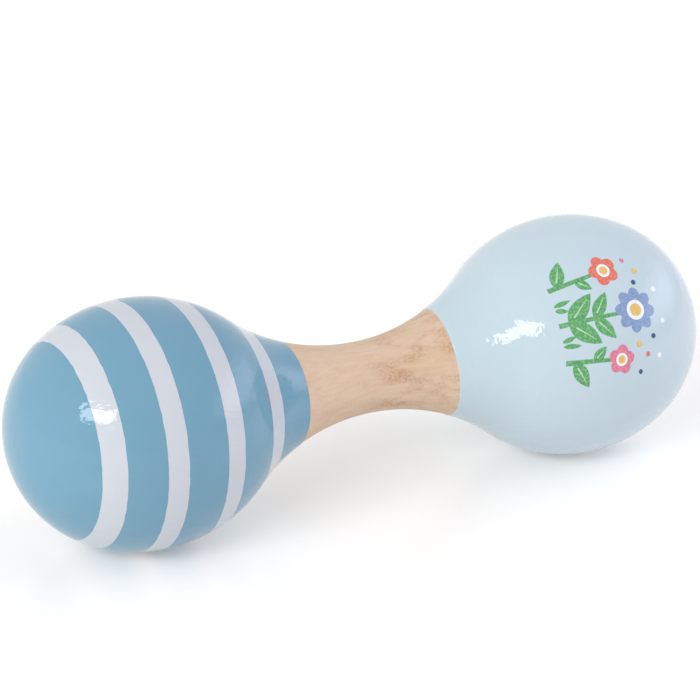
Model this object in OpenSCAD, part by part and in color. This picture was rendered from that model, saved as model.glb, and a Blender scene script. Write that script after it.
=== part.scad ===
// Double maraca: two hollow turned heads on one waisted handle, each with loose shot inside.
// The maraca lies along X with its middle at the origin. The plain head points to +X,
// the striped head to -X, and +Z is up when it lies on its two heads.

/* [Outside] */
// Length over both heads
overall_l = 147; // [135:1:160]
// Largest diameter of a head
head_d = 48; // [42:1:54]
// How much longer the belly arc's radius is than the head's
belly_extra = 6; // [4:0.25:10]
// How far the tip stands beyond a ball of the head's diameter
nose_extra = 2.4; // [1:0.1:3.5]
// Diameter of the handle at its waist
waist_d = 14.4; // [11:0.2:18]
// Length of bare wood between the two heads
grip_l = 33; // [24:0.5:40]

/* [Shells] */
// Thickness of the head's wall
wall = 4.5; // [3:0.25:6]
// Distance from the grip to the flat end of the chamber
neck_l = 14.5; // [12:0.5:18]
// Length of the tongue that centres the two halves of a head
tongue_l = 3; // [2:0.25:5]

/* [Tenons] */
// Diameter of the handle's tenons
tenon_d = 10; // [7:0.25:12]
// Length of a tenon
tenon_l = 14; // [8:0.5:16]
// Chamfer on the end of a tenon
tenon_chamfer = 0.8; // [0.2:0.1:1.5]
// Film of glue between a tenon and its socket, and between a tongue and its groove
glue_gap = 0.1; // [0.05:0.05:0.3]

/* [Shot] */
// Diameter of one ball
ball_d = 5; // [3:0.25:6]
// Balls in each head
ball_count = 8; // [4:1:9]
// Room between a ball and the chamber, and between neighbouring balls' paths
ball_gap = 0.3; // [0.2:0.05:0.6]

/* [Hidden] */
$fn = 128;
head_r = head_d / 2;
grip_end = grip_l / 2;
waist_r = waist_d / 2;
// Distance from the widest circle to the tip, and the widest circle's place along the axis
nose_reach = head_r + nose_extra;
belly_x = overall_l / 2 - nose_reach;
// The belly arc runs over the widest circle from a centre on the far side of the axis
belly_r = head_r + belly_extra;
belly_h = -belly_extra;
// Sizes that meet in a smooth outline are kept to a thousandth
function fine(size) = round(size * 1000) / 1000;
// The nose arc is centred on the axis and touches the belly arc from inside
nose_r = fine((pow(nose_reach, 2) + pow(belly_h, 2) - pow(belly_r, 2)) / (2 * (nose_reach - belly_r)));
nose_x = belly_x + sqrt(pow(belly_r - nose_r, 2) - pow(belly_h, 2));
// Slope of the line from the belly's centre through the nose's centre, on which the two arcs meet
nose_run = (nose_x - belly_x) / (belly_r - nose_r);
// The waist arc bulges towards the axis and touches both belly arcs from outside
waist_drop = belly_h - waist_r;
waist_arc_r = fine((pow(belly_x, 2) + pow(waist_drop, 2) - pow(belly_r, 2)) / (2 * (belly_r + waist_drop)));
waist_h = belly_h + sqrt(pow(belly_r + waist_arc_r, 2) - pow(belly_x, 2));
// Place along the axis where the waist arc meets the belly arc
neck_x = fine(belly_x * waist_arc_r / (belly_r + waist_arc_r));
chamber_x = grip_end + neck_l;
// The tongue takes the inner half of the wall
tongue_r = head_r - wall / 2;
tenon_r = tenon_d / 2;
socket_r = tenon_r + glue_gap;
// A ball's centre stays this far inside the wall
ball_inset = wall + ball_d / 2 + ball_gap;
ball_pitch = ball_d + ball_gap;
ring_r = max(ball_pitch, ball_pitch / (2 * sin(180 / (ball_count - 1))));
plain = 1;
striped = -1;

// Radius of the belly arc's surface, brought in by inset, at a place along the axis
function belly_at(x, inset) = belly_h + sqrt(pow(belly_r - inset, 2) - pow(x - belly_x, 2));

// Place along the axis where the nose arc meets the belly arc, both brought in by inset
function nose_join(inset) = fine(belly_x + nose_run * (belly_r - inset));

// A ball's place in plan: the first in the middle, the others in a ring round it
function ball_angle(i) = 360 * (i - 2) / (ball_count - 1);
function ball_x(i) = belly_x + (i == 1 ? 0 : ring_r * cos(ball_angle(i)));
function ball_y(i) = i == 1 ? 0 : ring_r * sin(ball_angle(i));
// Height of a ball that lies on the chamber's floor
function ball_z(i) = -sqrt(pow(belly_at(ball_x(i), ball_inset), 2) - pow(ball_y(i), 2));

// Half profiles: radius across, place along the axis upwards

// Disc of an arc, placed by whole hundredths and then by the rest, so that arcs meet closely
module arc_disc(r, across, along) {
    near = [floor(across * 100) / 100, floor(along * 100) / 100];
    translate(near) translate([across, along] - near) circle(r);
}

// Strip of the half plane from one place on the axis to another
module strip(from, to) {
    translate([0, from]) square([head_d, to - from]);
}

// Belly arc brought in by inset, between two places on the axis
module belly_profile(inset, from, to) {
    intersection() {
        arc_disc(belly_r - inset, belly_h, belly_x);
        strip(from, to);
    }
}

// Nose of the head brought in by inset, from where it meets the belly arc
module nose_profile(inset) {
    intersection() {
        arc_disc(nose_r - inset, 0, nose_x);
        strip(nose_join(inset), overall_l);
    }
}

// Waist arc between two places on the axis
module waist_profile(from, to) {
    difference() {
        translate([0, from]) square([waist_h, to - from]);
        arc_disc(waist_arc_r, waist_h, 0);
    }
}

// Half of the head next to the handle, with its socket and its tongue
module neck_profile() {
    difference() {
        union() {
            waist_profile(grip_end, neck_x);
            belly_profile(0, neck_x, belly_x);
            translate([0, belly_x]) square([tongue_r - glue_gap, tongue_l - glue_gap]);
        }
        belly_profile(wall, chamber_x, belly_x + tongue_l);
        translate([0, grip_end - neck_l]) square([socket_r, 3 * neck_l]);
    }
}

// Outer half of the head, with the groove for the tongue
module dome_profile() {
    difference() {
        union() {
            belly_profile(0, belly_x, nose_join(0));
            nose_profile(0);
        }
        belly_profile(wall, belly_x, nose_join(wall));
        nose_profile(wall);
        translate([0, belly_x - tongue_l]) square([tongue_r, 2 * tongue_l]);
    }
}

// Turns a half profile about the maraca's axis on one side
module turned(side) {
    rotate([0, 90 * side, 0]) rotate_extrude() children();
}

module handle() {
    color("burlywood") {
        turned(plain) waist_profile(-grip_end, grip_end);
        for (side = [plain, striped]) {
            rotate([0, 90 * side, 0]) translate([0, 0, grip_end - tenon_chamfer]) tenon();
        }
    }
}

// Round tenon with a chamfered end, rooted in the handle by the depth of its chamfer
module tenon() {
    cylinder(r = tenon_r, h = tenon_l);
    translate([0, 0, tenon_l]) cylinder(r1 = tenon_r, r2 = tenon_r - tenon_chamfer, h = tenon_chamfer);
}

module neck_shell(side, paint) {
    color(paint) turned(side) neck_profile();
}

module dome_shell(side, paint) {
    color(paint) turned(side) dome_profile();
}

module ball(side, i) {
    color("silver") translate([side * ball_x(i), side * ball_y(i), ball_z(i)]) sphere(d = ball_d);
}

handle();
neck_shell(striped, "#82b1c9");  // striped_neck_shell
dome_shell(striped, "#82b1c9");  // striped_dome_shell
neck_shell(plain, "#c4d8e4");  // plain_neck_shell
dome_shell(plain, "#c4d8e4");  // plain_dome_shell
for (i = [1:ball_count]) {
    ball(striped, i);
    ball(plain, i);
}
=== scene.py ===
"""The double maraca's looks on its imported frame: turned wood, gloss lacquer, print and loose shot."""

import logging
import math
from collections.abc import Iterator, Sequence
from dataclasses import dataclass
from enum import Enum

import bpy
from mathutils import Matrix, Vector, noise


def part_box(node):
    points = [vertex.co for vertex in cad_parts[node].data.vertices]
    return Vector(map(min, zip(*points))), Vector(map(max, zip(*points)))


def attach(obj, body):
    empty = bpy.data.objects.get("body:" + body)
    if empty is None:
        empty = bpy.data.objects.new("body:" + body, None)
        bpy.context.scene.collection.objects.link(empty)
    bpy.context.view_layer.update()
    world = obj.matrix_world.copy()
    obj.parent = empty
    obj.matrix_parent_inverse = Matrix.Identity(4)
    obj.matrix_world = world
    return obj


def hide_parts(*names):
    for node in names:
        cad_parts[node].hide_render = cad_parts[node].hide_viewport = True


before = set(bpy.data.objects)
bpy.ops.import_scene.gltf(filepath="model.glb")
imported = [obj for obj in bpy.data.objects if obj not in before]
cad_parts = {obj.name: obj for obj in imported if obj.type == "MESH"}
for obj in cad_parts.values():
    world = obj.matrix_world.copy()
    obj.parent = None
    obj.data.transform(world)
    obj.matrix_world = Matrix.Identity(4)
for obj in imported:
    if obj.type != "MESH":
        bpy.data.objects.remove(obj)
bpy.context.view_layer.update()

MM = 0.001
BODY = "maraca"
# Mesh fineness: steps round the axis, length of one step along an arc where it shows and
# where it is hidden, and the weld distance
TURN_STEPS = 180
ARC_STEP = 0.6 * MM
HIDDEN_STEP = 1.6 * MM
WELD = 0.001 * MM
# Faces that meet at less than this angle are shaded as one
SHARP_ANGLE = math.radians(35)
# Fineness of the print: steps across and along a long shape, steps round a round one and cuts
# between its rim and its middle
LONG_STEPS = (8, 24)
ROUND_STEPS = 48
ROUND_CUTS = 3
# What a node's input takes: a value, or the output that is linked to it
SocketInput = float | tuple[float, ...] | bpy.types.NodeSocket

log = logging.getLogger("maraca")


class End(Enum):
    """The two ends of the maraca, by the sign of their X."""

    PLAIN = 1
    STRIPED = -1


def linear(hex_colour: str) -> tuple[float, float, float, float]:
    """Turns an sRGB colour into the linear values that shaders take.

    Args:
        hex_colour: six hexadecimal digits.

    Returns:
        Linear red, green and blue, with an alpha of 1.
    """
    values = [int(hex_colour[i:i + 2], 16) / 255 for i in (0, 2, 4)]
    parts = [v / 12.92 if v <= 0.04045 else ((v + 0.055) / 1.055) ** 2.4 for v in values]
    return parts[0], parts[1], parts[2], 1.0


def add_node(tree: bpy.types.NodeTree, kind: str, inputs: dict[str | int, SocketInput] | None = None,
             **settings: str) -> bpy.types.Node:
    """Adds a node with its settings and links.

    Args:
        tree: node tree that gets the node.
        kind: the node's type name.
        inputs: values or output sockets, by input name or number.
        settings: the node's own properties.

    Returns:
        The new node.
    """
    node = tree.nodes.new(kind)
    for name, value in settings.items():
        setattr(node, name, value)
    for socket, value in (inputs or {}).items():
        if isinstance(value, bpy.types.NodeSocket):
            tree.links.new(value, node.inputs[socket])
        else:
            node.inputs[socket].default_value = value
    return node


def new_material(name: str) -> tuple[bpy.types.Material, bpy.types.NodeTree]:
    """Makes a material with an empty node tree.

    Args:
        name: what the material is.

    Returns:
        The material and its node tree.
    """
    material = bpy.data.materials.new(name)
    material.use_nodes = True
    material.node_tree.nodes.clear()
    return material, material.node_tree


def select_only(*objects: bpy.types.Object) -> None:
    """Selects these objects alone and makes the first one active.

    Args:
        objects: the objects.
    """
    bpy.ops.object.select_all(action="DESELECT")
    for obj in objects:
        obj.select_set(True)
    bpy.context.view_layer.objects.active = objects[0]


def two_tone_surface(tree: bpy.types.NodeTree, share: bpy.types.NodeSocket, tones: tuple[str, str],
                     roughness: tuple[float, float], more: dict[str, SocketInput]) -> None:
    """Ends a material with a surface of two tones, each with its own roughness.

    Args:
        tree: the material's node tree.
        share: how much of the second tone there is, from 0 to 1.
        tones: the two sRGB colours.
        roughness: the two roughnesses.
        more: the shader's other inputs.
    """
    tone = add_node(tree, "ShaderNodeMix", {0: share, 6: linear(tones[0]), 7: linear(tones[1])},
                    data_type="RGBA")
    rough = add_node(tree, "ShaderNodeMapRange",
                     {"Value": share, "To Min": roughness[0], "To Max": roughness[1]})
    surface = add_node(tree, "ShaderNodeBsdfPrincipled",
                       {"Base Color": tone.outputs[2], "Roughness": rough.outputs["Result"], **more})
    add_node(tree, "ShaderNodeOutputMaterial", {"Surface": surface.outputs["BSDF"]})


@dataclass(frozen=True)
class Marks:
    """Soft marks in a surface: their length along the axis, their width across it and their detail."""

    length: float
    width: float
    # How many finer layers the noise has
    detail: float
    # Values of the noise between which the marks come in, and how strong they are at each
    limits: tuple[float, float] = (0.0, 1.0)
    strength: tuple[float, float] = (0.0, 1.0)

    def add(self, tree: bpy.types.NodeTree) -> bpy.types.NodeSocket:
        """Adds the marks to a material.

        Args:
            tree: the material's node tree.

        Returns:
            How strong the marks are.
        """
        place = add_node(tree, "ShaderNodeTexCoord").outputs["Object"]
        drawn = add_node(tree, "ShaderNodeMapping",
                         {"Vector": place, "Scale": (1 / self.length, 1 / self.width, 1 / self.width)})
        grain = add_node(tree, "ShaderNodeTexNoise",
                         {"Vector": drawn.outputs["Vector"], "Scale": 1.0, "Detail": self.detail})
        marks = add_node(tree, "ShaderNodeMapRange",
                         {"Value": grain.outputs["Fac"],
                          "From Min": self.limits[0], "From Max": self.limits[1],
                          "To Min": self.strength[0], "To Max": self.strength[1]})
        return marks.outputs["Result"]


@dataclass(frozen=True)
class Lacquer:
    """Pigmented nitro lacquer, dipped and left to flow: an even colour under a wet-looking gloss.

    The flow leaves faint clouds in the colour. Turning ridges under it ripple the surface, so that
    highlights have ragged edges.
    """

    name: str
    colour: str
    cloud: str
    clouds: Marks = Marks(9 * MM, 9 * MM, 2.0)
    # Turning ridges are nearer half a millimetre apart and are drawn coarser so that they show
    ripples: Marks = Marks(1.8 * MM, 1.0 * MM, 1.0)
    ripple_height: float = 0.07 * MM
    roughness: tuple[float, float] = (0.05, 0.09)
    ior: float = 1.5

    def material(self) -> bpy.types.Material:
        """Builds the lacquer's material.

        Returns:
            The material.
        """
        material, tree = new_material(self.name)
        bump = add_node(tree, "ShaderNodeBump",
                        {"Height": self.ripples.add(tree), "Distance": self.ripple_height})
        two_tone_surface(tree, self.clouds.add(tree), (self.colour, self.cloud), self.roughness,
                         {"IOR": self.ior, "Normal": bump.outputs["Normal"]})
        return material


@dataclass(frozen=True)
class BareWood:
    """Beech, turned and sanded but not sealed: pale and matt, with fine streaks along the grain.

    Short dark pores and blotches of torn grain break up the streaks.
    """

    name: str
    light: str
    streak: str
    blotch: str
    streaks: Marks = Marks(11 * MM, 0.6 * MM, 5.0)
    bands: Marks = Marks(30 * MM, 6 * MM, 2.0)
    # Values of streaks and bands together over which the tone changes
    tone_limits: tuple[float, float] = (0.8, 1.25)
    blotches: Marks = Marks(7 * MM, 2.6 * MM, 3.0, limits=(0.45, 0.66))
    specks: Marks = Marks(0.6 * MM, 0.4 * MM, 2.0, limits=(0.4, 0.64), strength=(0.25, 0.85))
    # Beech pores are under 0.1 mm wide and are drawn wider so that they show
    pores: Marks = Marks(1.8 * MM, 0.2 * MM, 1.0, limits=(0.64, 0.76), strength=(0.0, 0.3))
    # Torn grain gathers towards the plain head, between these places along the axis, and this
    # share of it is left on the other side
    torn_from: float = -6 * MM
    torn_to: float = 5 * MM
    torn_left: float = 0.25
    relief: float = 0.03 * MM
    roughness: tuple[float, float] = (0.46, 0.66)
    ior: float = 1.5

    def material(self) -> bpy.types.Material:
        """Builds the wood's material.

        Returns:
            The material.
        """
        material, tree = new_material(self.name)
        # Streaks and bands together set the even tone
        streaks = self.streaks.add(tree)
        fibre = add_node(tree, "ShaderNodeMath", {0: streaks, 1: self.bands.add(tree)}, operation="ADD")
        even = add_node(tree, "ShaderNodeMapRange",
                        {"Value": fibre.outputs[0], "From Min": self.tone_limits[0],
                         "From Max": self.tone_limits[1]})
        tone = add_node(tree, "ShaderNodeMix",
                        {0: even.outputs["Result"], 6: linear(self.light), 7: linear(self.streak)},
                        data_type="RGBA")
        # Blotches are made of specks, and gather on one side
        place = add_node(tree, "ShaderNodeTexCoord").outputs["Object"]
        along = add_node(tree, "ShaderNodeSeparateXYZ", {"Vector": place})
        gathered = add_node(tree, "ShaderNodeMapRange",
                            {"Value": along.outputs["X"], "From Min": self.torn_from,
                             "From Max": self.torn_to, "To Min": self.torn_left})
        placed = add_node(tree, "ShaderNodeMath",
                          {0: self.blotches.add(tree), 1: gathered.outputs["Result"]},
                          operation="MULTIPLY")
        torn = add_node(tree, "ShaderNodeMath", {0: placed.outputs[0], 1: self.specks.add(tree)},
                        operation="MULTIPLY")
        dark = add_node(tree, "ShaderNodeMath", {0: torn.outputs[0], 1: self.pores.add(tree)},
                        operation="MAXIMUM")
        colour = add_node(tree, "ShaderNodeMix",
                          {0: dark.outputs[0], 6: tone.outputs[2], 7: linear(self.blotch)},
                          data_type="RGBA")
        # Dark marks lie a little lower than the fibres
        hollow = add_node(tree, "ShaderNodeMath", {0: streaks, 1: dark.outputs[0]},
                          operation="SUBTRACT")
        bump = add_node(tree, "ShaderNodeBump", {"Height": hollow.outputs[0], "Distance": self.relief})
        rough = add_node(tree, "ShaderNodeMapRange",
                         {"Value": streaks, "To Min": self.roughness[0],
                          "To Max": self.roughness[1]})
        surface = add_node(tree, "ShaderNodeBsdfPrincipled",
                           {"Base Color": colour.outputs[2], "Roughness": rough.outputs["Result"],
                            "IOR": self.ior, "Normal": bump.outputs["Normal"]})
        add_node(tree, "ShaderNodeOutputMaterial", {"Surface": surface.outputs["BSDF"]})
        return material


@dataclass(frozen=True)
class ShotSteel:
    """Carbon steel shot, tumbled bright: a grey metal with soft scuffs from rattling about."""

    name: str = "tumbled steel shot"
    colour: str = "C4C6C8"
    scuff: str = "A9ABAE"
    scuffs: Marks = Marks(0.8 * MM, 0.8 * MM, 4.0)
    roughness: tuple[float, float] = (0.12, 0.35)

    def material(self) -> bpy.types.Material:
        """Builds the shot's material.

        Returns:
            The material.
        """
        material, tree = new_material(self.name)
        two_tone_surface(tree, self.scuffs.add(tree), (self.colour, self.scuff), self.roughness,
                         {"Metallic": 1.0})
        return material


@dataclass(frozen=True)
class PrintInk:
    """Pad-printing ink: a flat, slightly glossy film of bright colour with a fine chalky speckle."""

    name: str
    colour: str
    speckle: str
    speckles: Marks = Marks(0.45 * MM, 0.45 * MM, 3.0, limits=(0.42, 0.66))
    roughness: tuple[float, float] = (0.12, 0.2)
    ior: float = 1.5

    def material(self) -> bpy.types.Material:
        """Builds the ink's material.

        Returns:
            The material.
        """
        material, tree = new_material(self.name)
        two_tone_surface(tree, self.speckles.add(tree), (self.colour, self.speckle), self.roughness,
                         {"IOR": self.ior})
        return material


@dataclass(frozen=True)
class Arc:
    """One arc of the half profile, over a stretch of the axis."""

    low_x: float
    high_x: float
    centre_x: float
    centre_r: float
    radius: float
    hollow: bool = False

    def angle(self, x: float) -> float:
        """The direction from the arc's centre to its point at x, in radians from +X."""
        turn = math.acos(max(-1.0, min(1.0, (x - self.centre_x) / self.radius)))
        return -turn if self.hollow else turn

    def height(self, x: float) -> float:
        """The arc's distance from the axis at x."""
        return self.centre_r + self.radius * math.sin(self.angle(x))


@dataclass(frozen=True)
class TurnedForm:
    """The maraca's outline from its middle to the tip of one head: waist, belly and nose arcs.

    Lengths are in metres. The arcs touch each other, as they do in the solids.
    """

    half_length: float
    head_r: float
    belly_x: float
    grip_end: float
    belly_extra: float = 6 * MM
    waist_r: float = 7.2 * MM

    @classmethod
    def from_frame(cls) -> "TurnedForm":
        """Reads the outline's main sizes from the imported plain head.

        Returns:
            The outline.
        """
        dome_low, dome_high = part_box("plain_dome_shell")
        neck_low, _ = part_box("plain_neck_shell")
        return cls(dome_high.x, dome_high.z, dome_low.x, neck_low.x)

    @property
    def belly_r(self) -> float:
        """Radius of the belly arc."""
        return self.head_r + self.belly_extra

    @property
    def nose_r(self) -> float:
        """Radius of the nose arc, which touches the belly arc from inside."""
        reach = self.half_length - self.belly_x
        return (reach ** 2 + self.belly_extra ** 2 - self.belly_r ** 2) / (2 * (reach - self.belly_r))

    @property
    def waist_arc_r(self) -> float:
        """Radius of the waist arc, which touches both belly arcs from outside."""
        drop = -self.belly_extra - self.waist_r
        return (self.belly_x ** 2 + drop ** 2 - self.belly_r ** 2) / (2 * (self.belly_r + drop))

    def arcs(self, inset: float) -> list[Arc]:
        """The outline's arcs, brought in towards the axis.

        Args:
            inset: distance inside the maraca's own surface.

        Returns:
            The waist, belly and nose arcs.
        """
        nose_x = self.half_length - self.nose_r
        slope = (nose_x - self.belly_x) / (self.belly_r - self.nose_r)
        join = self.belly_x + slope * (self.belly_r - inset)
        neck = self.belly_x * (self.waist_arc_r + inset) / (self.belly_r + self.waist_arc_r)
        waist_h = self.waist_r + self.waist_arc_r
        tip = self.half_length - inset
        return [
            Arc(-neck, neck, 0.0, waist_h, self.waist_arc_r + inset, hollow=True),
            Arc(neck, join, self.belly_x, -self.belly_extra, self.belly_r - inset),
            Arc(join, tip, nose_x, 0.0, self.nose_r - inset),
        ]

    def radius(self, x: float, inset: float = 0.0) -> float:
        """The outline's distance from the axis at x."""
        arcs = self.arcs(inset)
        return next((a for a in arcs if abs(x) <= a.high_x), arcs[-1]).height(abs(x))

    def sweeps(self, start: float, end: float, inset: float,
               stops: Sequence[float]) -> Iterator[tuple[Arc, float]]:
        """Splits a stretch of the outline into turns about the arcs' centres.

        Args:
            start: where the stretch begins along the axis.
            end: where it ends.
            inset: distance inside the maraca's surface.
            stops: places where a row of points has to lie.

        Yields:
            Each arc with the angle to turn about its centre.
        """
        arcs = self.arcs(inset)
        low, high = min(start, end), max(start, end)
        inner = {x for x in (*stops, *(a.low_x for a in arcs)) if low + WELD < x < high - WELD}
        marks = sorted({start, end, *inner}, reverse=end < start)
        for here, there in zip(marks, marks[1:]):
            middle = (here + there) / 2
            arc = next(a for a in arcs if a.low_x <= middle <= a.high_x)
            yield arc, arc.angle(there) - arc.angle(here)


class Lathe:
    """Draws a half profile in the XZ plane, point by point, and turns it about the X axis."""

    def __init__(self, name: str, form: TurnedForm, x: float, r: float) -> None:
        """Starts a profile from one point.

        Args:
            name: name of the piece.
            form: outline that the profile can follow.
            x: the point's place along the axis.
            r: its distance from the axis.
        """
        self.form = form
        self.x = x
        self.r = r
        bpy.ops.object.select_all(action="DESELECT")
        bpy.ops.mesh.primitive_plane_add(size=MM)
        self.obj = bpy.context.active_object
        self.obj.name = name
        self.obj.data.name = name
        bpy.ops.object.mode_set(mode="EDIT")
        bpy.ops.mesh.select_all(action="SELECT")
        bpy.ops.mesh.merge(type="CENTER")
        bpy.ops.transform.translate(value=(x, 0, r))

    def cut_to(self, x: float, r: float) -> None:
        """Draws a straight cut to a point.

        Args:
            x: the point's place along the axis.
            r: its distance from the axis.
        """
        step = (x - self.x, 0, r - self.r)
        bpy.ops.mesh.extrude_vertices_move(TRANSFORM_OT_translate={"value": step})
        self.x = x
        self.r = r

    def follow(self, x: float, inset: float, stops: Sequence[float] = (),
               step: float = ARC_STEP) -> None:
        """Follows the outline's arcs.

        Args:
            x: where to stop along the axis.
            inset: distance inside the maraca's surface.
            stops: places where a row of points has to lie.
            step: longest distance between points.
        """
        for arc, angle in self.form.sweeps(self.x, x, inset, stops):
            steps = max(1, math.ceil(abs(angle) * arc.radius / step))
            centre = (arc.centre_x, 0, arc.centre_r)
            bpy.ops.mesh.spin(steps=steps, angle=angle, center=centre, axis=(0, 1, 0))
        self.x = x
        self.r = self.form.radius(x, inset)

    def turn(self, end: End) -> bpy.types.Object:
        """Turns the profile into a solid of revolution.

        Args:
            end: end of the maraca that the piece belongs to.

        Returns:
            The finished object.
        """
        bpy.ops.mesh.select_all(action="SELECT")
        bpy.ops.mesh.spin(steps=TURN_STEPS, angle=2 * math.pi, center=(0, 0, 0), axis=(1, 0, 0))
        bpy.ops.mesh.select_all(action="SELECT")
        bpy.ops.mesh.remove_doubles(threshold=WELD)
        bpy.ops.mesh.normals_make_consistent(inside=False)
        if end is End.STRIPED:
            bpy.ops.transform.rotate(value=math.pi, orient_axis="Z", center_override=(0, 0, 0))
        bpy.ops.object.mode_set(mode="OBJECT")
        bpy.ops.object.shade_smooth_by_angle(angle=SHARP_ANGLE)
        return self.obj


def finish_piece(piece: bpy.types.Object, slot: str, *nodes: str) -> None:
    """Sets a piece on the maraca's body and reports it.

    Args:
        piece: the finished object.
        slot: the record's material slot; not used.
        nodes: solids that the piece stands for.
    """
    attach(piece, BODY)
    if nodes:
        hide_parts(*nodes)
    log.info("%s: %d faces", piece.name, len(piece.data.polygons))


@dataclass(frozen=True)
class Handle:
    """The waisted handle with a tenon at each end."""

    form: TurnedForm
    film: float
    tenon_r: float = 5 * MM
    tenon_chamfer: float = 0.8 * MM

    def build(self, wood: BareWood) -> None:
        """Turns the handle and dresses it.

        Args:
            wood: the handle's finish.
        """
        _, tenon_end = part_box("handle")
        tip, grip = tenon_end.x, self.form.grip_end
        lathe = Lathe("turned_handle", self.form, -tip, 0.0)
        lathe.cut_to(-tip, self.tenon_r - self.tenon_chamfer)
        lathe.cut_to(-tip + self.tenon_chamfer, self.tenon_r)
        lathe.cut_to(-grip, self.tenon_r)
        lathe.cut_to(-grip, self.form.radius(grip, self.film))
        lathe.follow(grip, self.film)
        lathe.cut_to(grip, self.tenon_r)
        lathe.cut_to(tip - self.tenon_chamfer, self.tenon_r)
        lathe.cut_to(tip, self.tenon_r - self.tenon_chamfer)
        lathe.cut_to(tip, 0.0)
        handle = lathe.turn(End.PLAIN)
        handle.data.materials.append(wood.material())
        finish_piece(handle, "bare_wood", "handle")


@dataclass(frozen=True)
class PaintedRings:
    """White rings painted round a head: the middle of each along the axis, and its width."""

    bands: tuple[tuple[float, float], ...] = ()

    def edges(self) -> list[float]:
        """The places of the rings' edges along the axis."""
        return [middle + side * width / 2 for middle, width in self.bands for side in (-1, 1)]

    def covers(self, x: float) -> bool:
        """Whether a place along the axis lies on a ring."""
        return any(abs(x - middle) < width / 2 for middle, width in self.bands)


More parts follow.
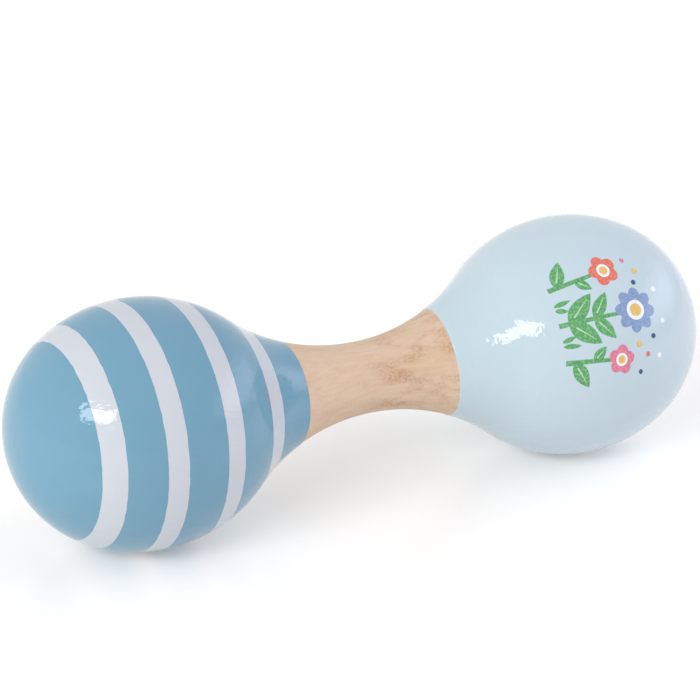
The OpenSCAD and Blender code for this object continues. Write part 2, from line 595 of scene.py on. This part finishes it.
@dataclass(frozen=True)
class Head:
    """One head: two wooden half shells, and the skin of lacquer that hides their joint."""

    form: TurnedForm
    end: End
    # Thickness of the lacquer, and the place of its edge along the axis
    film: float
    paint_edge: float
    # How far the edge of the paint wanders along the axis, and the edges of its rings
    edge_wander: float
    ring_wander: float = 0.05 * MM
    # How quickly they wander, round the axis. A finer fringe adds its share to the paint's edge
    edge_waves: float = 1.2
    ring_waves: float = 14.0
    fringe_waves: float = 3.5
    fringe_share: float = 0.12
    # A head dipped aslant has its edge out of square, furthest from the tip at this turn,
    # and rings painted by hand are a little so
    edge_tilt: float = 0.0
    ring_tilt: float = 0.2 * MM
    tilt_turn: float = math.radians(35)
    rings: PaintedRings = PaintedRings()
    wall: float = 4.5 * MM
    neck_l: float = 14.5 * MM
    tongue_l: float = 3 * MM
    glue_gap: float = 0.1 * MM
    socket_r: float = 5.1 * MM
    # The skin is pressed this far into the wood, and its edge rounds off over this length, with
    # points at these shares of it
    skin_root: float = 0.03 * MM
    skin_lip: float = 0.25 * MM
    lip_points: tuple[float, ...] = (0.4, 0.75, 1.0)
    # Length of skin that moves with its wandering edge, and with the edge of a ring
    edge_reach: float = 6 * MM
    ring_reach: float = 1.5 * MM

    @property
    def label(self) -> str:
        """The word that starts the names of this head's pieces."""
        return self.end.name.lower()

    @property
    def tongue_r(self) -> float:
        """Radius where the tongue meets its groove, in the middle of the wall."""
        return self.form.head_r - self.wall / 2

    def neck_shell(self) -> bpy.types.Object:
        """Turns the half next to the handle, with its socket and its tongue.

        Returns:
            The neck shell.
        """
        form = self.form
        grip, belly, chamber = form.grip_end, form.belly_x, form.grip_end + self.neck_l
        tongue_end = belly + self.tongue_l - self.glue_gap
        lathe = Lathe(f"{self.label}_neck_wood", form, belly, form.radius(belly, self.film))
        lathe.follow(grip, self.film, step=HIDDEN_STEP)
        lathe.cut_to(grip, self.socket_r)
        lathe.cut_to(chamber, self.socket_r)
        lathe.cut_to(chamber, form.radius(chamber, self.wall))
        lathe.follow(tongue_end, self.wall, step=HIDDEN_STEP)
        lathe.cut_to(tongue_end, self.tongue_r - self.glue_gap)
        lathe.cut_to(belly, self.tongue_r - self.glue_gap)
        lathe.cut_to(belly, form.radius(belly, self.film))
        return lathe.turn(self.end)

    def dome_shell(self) -> bpy.types.Object:
        """Turns the outer half, with the groove for the tongue.

        Returns:
            The dome shell.
        """
        form = self.form
        belly = form.belly_x
        groove_end = belly + self.tongue_l
        lathe = Lathe(f"{self.label}_dome_wood", form, form.half_length - self.film, 0.0)
        lathe.follow(belly, self.film, step=HIDDEN_STEP)
        lathe.cut_to(belly, self.tongue_r)
        lathe.cut_to(groove_end, self.tongue_r)
        lathe.cut_to(groove_end, form.radius(groove_end, self.wall))
        lathe.follow(form.half_length - self.wall, self.wall, step=HIDDEN_STEP)
        return lathe.turn(self.end)

    def skin(self) -> bpy.types.Object:
        """Turns the film of lacquer, from the tip to its rounded edge on the neck.

        Returns:
            The skin of lacquer.
        """
        form, edge, root = self.form, self.paint_edge, self.film + self.skin_root
        lathe = Lathe(f"{self.label}_lacquer", form, form.half_length, 0.0)
        lathe.follow(edge + self.skin_lip, 0.0, self.rings.edges())
        for share in self.lip_points:
            depth = root * (1 - math.sqrt(1 - share ** 2))
            x = edge + self.skin_lip * (1 - share)
            lathe.cut_to(x, form.radius(x, depth))
        lathe.follow(form.half_length - root, root, step=HIDDEN_STEP)
        skin = lathe.turn(self.end)
        for face in skin.data.polygons:
            face.material_index = int(self.rings.covers(abs(face.center.x)))
        self.wander(skin)
        return skin

    def wander(self, skin: bpy.types.Object) -> None:
        """Lets the painted edges wander a little, as a brush or a dip leaves them.

        Args:
            skin: the film of lacquer.
        """
        for vertex in skin.data.vertices:
            x = abs(vertex.co.x)
            around = math.atan2(vertex.co.z, -vertex.co.y)
            shift = self.edge_shift(x, around) + self.ring_shift(x, around)
            if shift:
                swell = self.form.radius(x + shift) / self.form.radius(x)
                vertex.co = (self.end.value * (x + shift), vertex.co.y * swell, vertex.co.z * swell)

    def edge_shift(self, x: float, around: float) -> float:
        """How far a point of the skin moves along the axis with the edge of the paint.

        Args:
            x: the point's place along the axis.
            around: its angle round the axis, in radians.

        Returns:
            The distance, which fades out away from the edge.
        """
        near = 1 - (x - self.paint_edge) / self.edge_reach
        if near <= 0:
            return 0.0
        fringe = self.fringe_share * self.drift(around, self.fringe_waves)
        wave = self.drift(around, self.edge_waves) + fringe
        slant = math.cos(around - self.tilt_turn)
        return (self.edge_wander * wave - self.edge_tilt * slant) * near ** 2

    def ring_shift(self, x: float, around: float) -> float:
        """How far a point of the skin moves along the axis with the nearest edge of a ring.

        Args:
            x: the point's place along the axis.
            around: its angle round the axis, in radians.

        Returns:
            The distance, which fades out away from the edge.
        """
        edge = min(self.rings.edges(), key=lambda e: abs(x - e), default=math.inf)
        near = 1 - abs(x - edge) / self.ring_reach
        if near <= 0:
            return 0.0
        wave = self.drift(around + edge / MM, self.ring_waves)
        slant = math.cos(around - self.tilt_turn)
        return (self.ring_wander * wave - self.ring_tilt * slant) * near

    @staticmethod
    def drift(around: float, waves: float) -> float:
        """A smooth value, from about -1 to 1, that closes on itself after a turn round the axis."""
        return 2 * noise.noise(Vector((waves * math.cos(around), waves * math.sin(around), waves)))

    def build(self, wood: tuple[BareWood, BareWood], paint: Lacquer,
              ring_paint: Lacquer | None = None) -> bpy.types.Object:
        """Builds the head's pieces and dresses them.

        Args:
            wood: finishes of the two shells, outside and inside.
            paint: the head's own lacquer.
            ring_paint: lacquer of the rings.

        Returns:
            The skin of lacquer.
        """
        woods = [finish.material() for finish in wood]
        for shell, node in ((self.neck_shell(), "neck_shell"), (self.dome_shell(), "dome_shell")):
            for material in woods:
                shell.data.materials.append(material)
            for face in shell.data.polygons:
                deep = self.form.radius(face.center.x, self.wall / 2)
                face.material_index = int(math.hypot(face.center.y, face.center.z) < deep)
            finish_piece(shell, "bare_wood", f"{self.label}_{node}")
        skin = self.skin()
        skin.data.materials.append(paint.material())
        if ring_paint:
            skin.data.materials.append(ring_paint.material())
        finish_piece(skin, "blue_lacquer" if self.end is End.STRIPED else "pale_lacquer")
        return skin


class Shape(Enum):
    """The kinds of printed shape."""

    LEAF = "leaf"
    STEM = "stem"
    VEIN = "vein"
    DOT = "dot"
    FLOWER = "flower"
    DAISY = "daisy"


# The round shapes, with their number of petals
PETALS = {Shape.DOT: 0, Shape.FLOWER: 5, Shape.DAISY: 8}
# A leaf's widest place is drawn towards its foot, and its sides are filled out, by these powers
LEAF_LEAN = 0.8
LEAF_FILL = 0.85
# Share of its width that a vein or a stem loses towards its end
TAPER = {Shape.VEIN: 0.8, Shape.STEM: 0.3}
# Depth of the notches between petals, as a share of the flower's radius
PETAL_DEPTH = 0.26


@dataclass(frozen=True)
class Motif:
    """One printed shape, drawn flat: its ink, its place, its size and the way it points.

    Sizes are in millimetres, as on the printer's drawing. turn is in degrees from straight up.
    """

    ink: str
    shape: Shape
    x: float
    y: float
    width: float
    height: float
    turn: float = 0.0

    def outline(self, up: float) -> float:
        """The half width of a long shape, as a share of its full half width.

        Args:
            up: height in the shape, from 0 to 1.

        Returns:
            The share.
        """
        if self.shape is Shape.LEAF:
            return math.sin(math.pi * up ** LEAF_LEAN) ** LEAF_FILL
        return 1 - TAPER[self.shape] * up

    def draw_long(self) -> bpy.types.Object:
        """Draws a leaf, stem or vein as a grid drawn in to its outline.

        Returns:
            The shape, upright with its foot at the origin.
        """
        across, along = LONG_STEPS
        bpy.ops.mesh.primitive_grid_add(x_subdivisions=across, y_subdivisions=along, size=1)
        shape = bpy.context.active_object
        for vertex in shape.data.vertices:
            up = min(1.0, max(0.0, vertex.co.y + 0.5))
            vertex.co = (vertex.co.x * self.width * self.outline(up), up * self.height, 0)
        return shape

    def draw_round(self) -> bpy.types.Object:
        """Draws a dot or a flower as a filled circle with petals.

        Returns:
            The shape, round the origin.
        """
        bpy.ops.mesh.primitive_circle_add(vertices=ROUND_STEPS, radius=0.5, fill_type="TRIFAN")
        bpy.ops.object.mode_set(mode="EDIT")
        bpy.ops.mesh.subdivide(number_cuts=ROUND_CUTS)
        bpy.ops.object.mode_set(mode="OBJECT")
        shape = bpy.context.active_object
        petals = PETALS[self.shape]
        for vertex in shape.data.vertices:
            angle = math.atan2(vertex.co.y, vertex.co.x)
            reach = 1 - PETAL_DEPTH * (1 - abs(math.cos(petals * angle / 2)))
            vertex.co = (vertex.co.x * reach * self.width, vertex.co.y * reach * self.height, 0)
        return shape

    def draw(self) -> bpy.types.Object:
        """Draws the motif in its place on the flat print.

        Returns:
            The flat shape.
        """
        bpy.ops.object.select_all(action="DESELECT")
        shape = self.draw_round() if self.shape in PETALS else self.draw_long()
        place = Matrix.Translation(Vector((self.x, self.y, 0)))
        turn = Matrix.Rotation(math.radians(-self.turn), 4, "Z")
        shape.data.transform(Matrix.Scale(MM, 4) @ place @ turn)
        bpy.ops.object.mode_set(mode="EDIT")
        bpy.ops.mesh.select_all(action="SELECT")
        bpy.ops.mesh.remove_doubles(threshold=WELD)
        bpy.ops.object.mode_set(mode="OBJECT")
        return shape


@dataclass(frozen=True)
class PrintedFlowers:
    """A row of three flowers, printed on the plain head with its top towards the tip."""

    form: TurnedForm
    # Middle of the print: its place along the axis and its turn from the -Y side upwards
    along: float = 43.5 * MM
    around: float = math.radians(30)
    # How far off the head the flat print starts, and how deep the pressed inks are rooted in it
    lift: float = 20 * MM
    ink_root: float = 0.02 * MM
    # Height of the first ink over the lacquer, and of each later ink over the one before
    ink_film: float = 0.012 * MM
    layer_step: float = 0.005 * MM
    # On the drawing, in millimetres: the foot of the stems, and widths of stems, grass and veins
    foot: float = -10.0
    stem_width: float = 1.0
    grass_width: float = 1.0
    vein_width: float = 0.36
    # A vein's start and its length, as shares of its leaf
    vein_start: float = 0.2
    vein_share: float = 0.62
    # A flower's white ring and its middle, as shares of its width
    ring_share: float = 0.44
    middle_share: float = 0.28

    def stand(self) -> Matrix:
        """The flat print's own frame: across, up towards the tip, and out of the head.

        Returns:
            The frame, off the head.
        """
        slope_step = 0.01 * MM
        rise = self.form.radius(self.along + slope_step) - self.form.radius(self.along - slope_step)
        out_yz = Vector((0, -math.cos(self.around), math.sin(self.around)))
        up = (Vector((1, 0, 0)) * 2 * slope_step + out_yz * rise).normalized()
        across = up.cross(out_yz).normalized()
        out = across.cross(up).normalized()
        middle = Vector((self.along, 0, 0)) + out_yz * self.form.radius(self.along)
        turn = Matrix((across, up, out)).transposed().to_4x4()
        return Matrix.Translation(middle + out * self.lift) @ turn

    def press(self, flat: bpy.types.Object, skin: bpy.types.Object, height: float) -> None:
        """Presses a flat shape onto the head, as a printing pad does, and gives it its thickness.

        Args:
            flat: the shape in the print's frame.
            skin: the lacquer that takes the print.
            height: how far the ink's top stands above the lacquer.
        """
        select_only(flat)
        flat.matrix_world = self.stand()
        wrap = flat.modifiers.new("press", "SHRINKWRAP")
        wrap.target = skin
        wrap.wrap_method = "PROJECT"
        wrap.wrap_mode = "ABOVE_SURFACE"
        wrap.use_project_z = True
        wrap.use_negative_direction = True
        wrap.use_positive_direction = False
        wrap.offset = height
        bpy.ops.object.modifier_apply(modifier=wrap.name)
        film = flat.modifiers.new("film", "SOLIDIFY")
        film.thickness = height + self.ink_root
        film.offset = -1
        bpy.ops.object.modifier_apply(modifier=film.name)
        bpy.ops.object.transform_apply(location=True, rotation=True, scale=True)
        bpy.ops.object.shade_smooth_by_angle(angle=SHARP_ANGLE)

    def stems(self) -> list[Motif]:
        """The three stems, and short blades of grass between them.

        Returns:
            The shapes.
        """
        stems = [Motif("green", Shape.STEM, x, self.foot, self.stem_width, height, turn)
                 for x, height, turn in ((0.0, 14.0, 0.0), (-7.2, 10.5, -8.0), (7.2, 9.5, 8.0))]
        grass = [Motif("green", Shape.LEAF, x, self.foot, self.grass_width, height, turn)
                 for x, height, turn in (
                     (-3.9, 3.4, -10.0), (-3.1, 2.6, 14.0), (3.2, 2.8, -12.0), (4.0, 3.5, 9.0))]
        return [*stems, *grass]

    def leaves(self) -> list[Motif]:
        """The leaves, with a pale vein on each.

        Returns:
            The shapes.
        """
        leaves = [Motif("green", Shape.LEAF, x, y, width, height, turn)
                  for x, y, width, height, turn in (
                      (0.0, -8.0, 3.5, 7.4, -42.0), (0.0, -8.0, 3.5, 7.4, 42.0),
                      (0.0, -3.0, 2.7, 5.8, -52.0), (0.0, -3.0, 2.7, 5.8, 52.0),
                      (-7.5, -8.4, 2.7, 5.6, -64.0), (-8.0, -4.6, 2.0, 3.6, 38.0),
                      (7.5, -8.4, 2.7, 5.6, 64.0), (8.0, -4.6, 2.0, 3.6, -38.0))]
        veins = []
        for leaf in leaves:
            turn = math.radians(leaf.turn)
            start, length = self.vein_start * leaf.height, self.vein_share * leaf.height
            x = leaf.x + start * math.sin(turn)
            y = leaf.y + start * math.cos(turn)
            veins.append(Motif("pale_green", Shape.VEIN, x, y, self.vein_width, length, leaf.turn))
        return [*leaves, *veins]

    def flowers(self) -> list[Motif]:
        """The flower heads, with their rings and middles.

        Returns:
            The shapes.
        """
        heads = []
        for ink, shape, x, y, size, turn in (
                ("dusty_blue", Shape.DAISY, 0.0, 6.0, 9.0, 10.0),
                ("coral", Shape.FLOWER, -8.9, 1.9, 6.2, 20.0),
                ("pink", Shape.FLOWER, 8.8, 1.1, 5.6, 50.0)):
            heads.append(Motif(ink, shape, x, y, size, size, turn))
            for dot_ink, share in (("white", self.ring_share), ("mustard", self.middle_share)):
                heads.append(Motif(dot_ink, Shape.DOT, x, y, share * size, share * size))
        return heads

    def pollen(self) -> list[Motif]:
        """Small loose dots over the flowers.

        Returns:
            The shapes.
        """
        return [Motif(ink, Shape.DOT, x, y, size, size)
                for ink, x, y, size in (
                    ("navy", -5.4, 7.4, 1.0), ("navy", 5.6, 9.0, 1.0), ("navy", 11.8, 5.2, 0.9),
                    ("mustard", -7.6, 8.6, 1.2), ("mustard", 6.6, 5.4, 1.2),
                    ("coral", 8.8, 7.2, 1.0), ("pink", -10.2, 6.8, 1.0),
                    ("white", -3.4, 11.6, 1.1), ("white", 3.0, 12.0, 1.0), ("white", 9.4, 10.0, 1.0))]

    def build(self, skin: bpy.types.Object, inks: dict[str, PrintInk]) -> None:
        """Prints each ink as one piece.

        Args:
            skin: the lacquer that takes the print.
            inks: the inks by name, in the order of printing.
        """
        motifs = [*self.stems(), *self.leaves(), *self.flowers(), *self.pollen()]
        for layer, (name, ink) in enumerate(inks.items()):
            select_only(*[motif.draw() for motif in motifs if motif.ink == name])
            bpy.ops.object.join()
            flat = bpy.context.active_object
            flat.name = f"print_{name}"
            flat.data.name = flat.name
            self.press(flat, skin, self.ink_film + layer * self.layer_step)
            flat.data.materials.append(ink.material())
            finish_piece(flat, "pale_lacquer")


@dataclass(frozen=True)
class LooseShot:
    """The balls in both heads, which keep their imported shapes."""

    finish: ShotSteel = ShotSteel()

    def dress(self) -> None:
        """Gives every ball its steel."""
        steel = self.finish.material()
        for name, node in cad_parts.items():
            if "_ball_" in name:
                node.data.materials.clear()
                node.data.materials.append(steel)
                log.info("%s: dressed", name)


def direction(azimuth: float, elevation: float) -> Vector:
    """The direction at an azimuth from -Y towards +X and an elevation, both in degrees."""
    a, e = math.radians(azimuth), math.radians(elevation)
    return Vector((math.sin(a) * math.cos(e), -math.cos(a) * math.cos(e), math.sin(e)))


@dataclass(frozen=True)
class Lamp:
    """A soft light: its direction from the maraca, its distance, its size and its brightness."""

    name: str
    azimuth: float
    elevation: float
    distance: float
    size: tuple[float, float]
    radiance: float
    tint: str = "FFFFFF"
    in_gloss: bool = True
    feathered: bool = False
    # Distances from a feathered lamp's middle, as shares of its size, where its light ends and
    # where it is full
    fade: tuple[float, float] = (0.5, 0.1)

    def feather(self, tree: bpy.types.NodeTree) -> None:
        """Lets the lamp's light fade out from its middle to its edges.

        Args:
            tree: the lamp's node tree.
        """
        tree.nodes.clear()
        place = add_node(tree, "ShaderNodeNewGeometry").outputs["Parametric"]
        middle = (0.5, 0.5, 0.0)
        off = add_node(tree, "ShaderNodeVectorMath", {0: place, 1: middle}, operation="DISTANCE")
        soft = add_node(tree, "ShaderNodeMapRange",
                        {"Value": off.outputs["Value"], "From Min": self.fade[0],
                         "From Max": self.fade[1]},
                        interpolation_type="SMOOTHSTEP")
        light = add_node(tree, "ShaderNodeEmission", {"Strength": soft.outputs["Result"]})
        add_node(tree, "ShaderNodeOutputLight", {"Surface": light.outputs["Emission"]})

    def build(self) -> None:
        """Hangs the lamp so that it faces the maraca."""
        data = bpy.data.lights.new(self.name, "AREA")
        data.shape = "RECTANGLE"
        data.size, data.size_y = self.size
        # One side of a matt face sends out pi times its radiance and its area, in watts
        data.energy = self.radiance * math.pi * self.size[0] * self.size[1]
        data.color = linear(self.tint)[:3]
        if self.feathered:
            data.use_nodes = True
            self.feather(data.node_tree)
        lamp = bpy.data.objects.new(self.name, data)
        bpy.context.scene.collection.objects.link(lamp)
        lamp.visible_glossy = self.in_gloss
        back = direction(self.azimuth, self.elevation)
        lamp.location = back * self.distance
        lamp.rotation_euler = (-back).to_track_quat("-Z", "Y").to_euler()


@dataclass(frozen=True)
class Studio:
    """A pale floor, a white surround, soft lamps and the photograph's camera."""

    floor_size: float = 4.0
    floor_colour: str = "F2EFEC"
    floor_roughness: float = 0.22
    floor_ior: float = 1.5
    # The floor's own light: what falls on the maraca, and what the eye sees
    floor_glow: tuple[float, float] = (0.1, 0.24)
    fill: float = 0.5
    lamps: tuple[Lamp, ...] = (
        Lamp("window", -57.0, 31.0, 1.1, (0.56, 0.24), 7.5),
        Lamp("window_fill", -56.0, 31.0, 1.1, (0.56, 0.34), 2.2, in_gloss=False),
        Lamp("left_panel", -95.0, 20.0, 1.4, (1.4, 1.0), 1.7, in_gloss=False),
        Lamp("right_panel", 72.0, 36.0, 1.4, (1.4, 1.2), 1.3, "EEEEFF", in_gloss=False),
        Lamp("right_glow", 74.0, 17.0, 1.4, (2.3, 0.85), 1.6, "EEEEFF", feathered=True),
    )
    # The photograph's camera: where it stands, its focal length, and the middle of the
    # maraca's place in the picture, counted in pixels from the picture's own middle
    azimuth: float = -28.67
    elevation: float = 22.19
    distance: float = 655.4 * MM
    picture: int = 700
    focal_pixels: float = 3375.5
    middle_right: float = 10.8
    middle_down: float = 27.5
    sensor: float = 36.0

    def floor(self, height: float) -> None:
        """Lays the floor, which is white to the eye and keeps the maraca's shadow.

        Args:
            height: the floor's place along Z.
        """
        bpy.ops.object.select_all(action="DESELECT")
        bpy.ops.mesh.primitive_plane_add(size=self.floor_size, location=(0, 0, height))
        floor = bpy.context.active_object
        floor.name = "studio_floor"
        bpy.ops.object.transform_apply(location=True)
        # Satin card: an even pale ground with a faint sheen
        material, tree = new_material("white card")
        card = add_node(tree, "ShaderNodeBsdfPrincipled",
                        {"Base Color": linear(self.floor_colour), "Roughness": self.floor_roughness,
                         "IOR": self.floor_ior})
        glow = add_node(tree, "ShaderNodeMapRange",
                        {"Value": self.seen_directly(tree), "To Min": self.floor_glow[0],
                         "To Max": self.floor_glow[1]})
        light = add_node(tree, "ShaderNodeEmission", {"Strength": glow.outputs["Result"]})
        both = add_node(tree, "ShaderNodeAddShader",
                        {0: card.outputs["BSDF"], 1: light.outputs["Emission"]})
        add_node(tree, "ShaderNodeOutputMaterial", {"Surface": both.outputs["Shader"]})
        floor.data.materials.append(material)

    @staticmethod
    def seen_directly(tree: bpy.types.NodeTree) -> bpy.types.NodeSocket:
        """Adds a switch between what is seen and the light that falls on things.

        Args:
            tree: node tree that gets the switch.

        Returns:
            1 for the camera, gloss and glass, and 0 for the rest.
        """
        path = add_node(tree, "ShaderNodeLightPath")
        shiny = add_node(tree, "ShaderNodeMath",
                         {0: path.outputs["Is Camera Ray"], 1: path.outputs["Is Glossy Ray"]},
                         operation="MAXIMUM")
        clear = add_node(tree, "ShaderNodeMath",
                         {0: shiny.outputs[0], 1: path.outputs["Is Transmission Ray"]},
                         operation="MAXIMUM")
        return clear.outputs[0]

    def surround(self) -> None:
        """Makes the world white to the eye and a softer fill light on the maraca."""
        world = bpy.data.worlds.new("white surround")
        bpy.context.scene.world = world
        world.use_nodes = True
        tree = world.node_tree
        tree.nodes.clear()
        strength = add_node(tree, "ShaderNodeMapRange",
                            {"Value": self.seen_directly(tree), "To Min": self.fill, "To Max": 1.0})
        sky = add_node(tree, "ShaderNodeBackground",
                       {"Color": (1, 1, 1, 1), "Strength": strength.outputs["Result"]})
        add_node(tree, "ShaderNodeOutputWorld", {"Surface": sky.outputs["Background"]})

    def camera(self) -> None:
        """Stands the camera where the photograph was taken from."""
        data = bpy.data.cameras.new("photo_camera")
        data.sensor_width = self.sensor
        data.lens = self.sensor * self.focal_pixels / self.picture
        camera = bpy.data.objects.new("photo_camera", data)
        bpy.context.scene.collection.objects.link(camera)
        back = direction(self.azimuth, self.elevation)
        turn = (-back).to_track_quat("-Z", "Y")
        per_pixel = self.distance / self.focal_pixels
        slide = turn @ Vector((-self.middle_right * per_pixel, self.middle_down * per_pixel, 0))
        camera.location = back * self.distance + slide
        camera.rotation_euler = turn.to_euler()
        bpy.context.scene.camera = camera

    def build(self, floor_height: float) -> None:
        """Builds the studio.

        Args:
            floor_height: the floor's place along Z.
        """
        bpy.context.scene.view_settings.view_transform = "Standard"
        self.floor(floor_height)
        self.surround()
        for lamp in self.lamps:
            lamp.build()
        self.camera()


def main() -> None:
    """Builds the maraca's pieces in order."""
    logging.basicConfig(level=logging.INFO, format="%(message)s")
    form = TurnedForm.from_frame()
    # Thickness of the lacquer
    film = 0.1 * MM
    # Sanding leaves the wood outside pale, matt and even. Inside it is as the tool left it, darker
    # and rougher
    sanded = BareWood("sanded beech", "DEC3AA", "D6B799", "B98E6B")
    turned = BareWood("turned beech inside the heads", "DDBE9E", "CCA784", "A87C58",
                      relief=0.06 * MM)
    # The lacquers give even, wet-looking colours, and the pale one has other ridges under it
    blue = Lacquer("blue gloss lacquer", "6E9DB5", "6999B2")
    white = Lacquer("white gloss lacquer", "CBCFD6", "C6CBD3")
    pale = Lacquer("pale blue gloss lacquer", "C4D6DF", "C0D3DD",
                   ripples=Marks(1.0 * MM, 1.5 * MM, 1.0))
    # The inks give flat bright shapes with a speckle, in the order of printing
    inks = {
        "green": PrintInk("green printing ink", "4E9A5A", "7BB983"),
        "pale_green": PrintInk("pale green printing ink", "A9D3A6", "BCDDB9"),
        "dusty_blue": PrintInk("dusty blue printing ink", "7C94C0", "93A9CE"),
        "coral": PrintInk("coral printing ink", "DD6A58", "E58674"),
        "pink": PrintInk("pink printing ink", "D9738F", "E391A6"),
        "white": PrintInk("white printing ink", "F1F4F6", "E8EEF2"),
        "mustard": PrintInk("mustard printing ink", "E3B55C", "EAC77E"),
        "navy": PrintInk("navy printing ink", "2F5072", "3E6285"),
    }
    rings = PaintedRings(((61.94 * MM, 4.05 * MM), (50.82 * MM, 4.0 * MM),
                          (38.41 * MM, 4.0 * MM), (26.22 * MM, 3.75 * MM)))
    Studio().build(-form.head_r)
    Handle(form, film).build(sanded)
    striped_head = Head(form, End.STRIPED, film, paint_edge=16.5 * MM, edge_wander=0.1 * MM,
                        rings=rings)
    striped_head.build((sanded, turned), blue, white)
    plain_head = Head(form, End.PLAIN, film, paint_edge=17.3 * MM, edge_wander=0.15 * MM,
                      edge_tilt=1.3 * MM)
    plain_skin = plain_head.build((sanded, turned), pale)
    PrintedFlowers(form).build(plain_skin, inks)
    LooseShot().dress()


if __name__ == "__main__":
    main()
